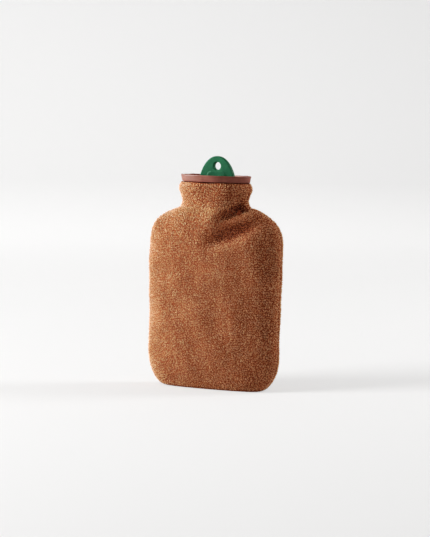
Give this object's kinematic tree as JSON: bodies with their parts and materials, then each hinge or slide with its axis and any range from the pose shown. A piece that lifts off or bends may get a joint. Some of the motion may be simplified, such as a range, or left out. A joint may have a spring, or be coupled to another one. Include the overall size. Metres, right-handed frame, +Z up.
{
  "type": "hot water bottle with fleece cover",
  "caption": "Flat rubber hot water bottle in a fitted fleece cover with a full collar, its oval rim open over the collar and a screw stopper with a holed tab in its funnel.",
  "frame": {"origin": "middle of the footprint, on the surface that the base stands on", "axes": "+Z up along the bottle, -Y to the front panel, +X to the right as seen from the front"},
  "size_m": [0.1987, 0.0654, 0.3078],
  "materials": {
    "fleece": "caramel brown curly teddy fleece",
    "rubber": "smooth brown rubber, slightly dusty",
    "plastic": "dark green moulded plastic, satin"
  },
  "bodies": {
    "covered_bottle": {"cover_front": "fleece", "cover_back": "fleece", "bottle": "rubber", "socket": "plastic"},
    "washer": {"washer": "rubber"},
    "stopper": {"stopper": "plastic"}
  },
  "joints": [
    {"name": "stopper_lift", "type": "slide", "parent": "covered_bottle", "child": "washer", "axis": [0, 0, 1], "range_m": [0, 0.06]},
    {"name": "stopper_turn", "type": "hinge", "parent": "washer", "child": "stopper", "pos_m": [0.002, 0, 0.2567], "axis": [0, 0, 1], "range_deg": [0, 1440]}
  ]
}
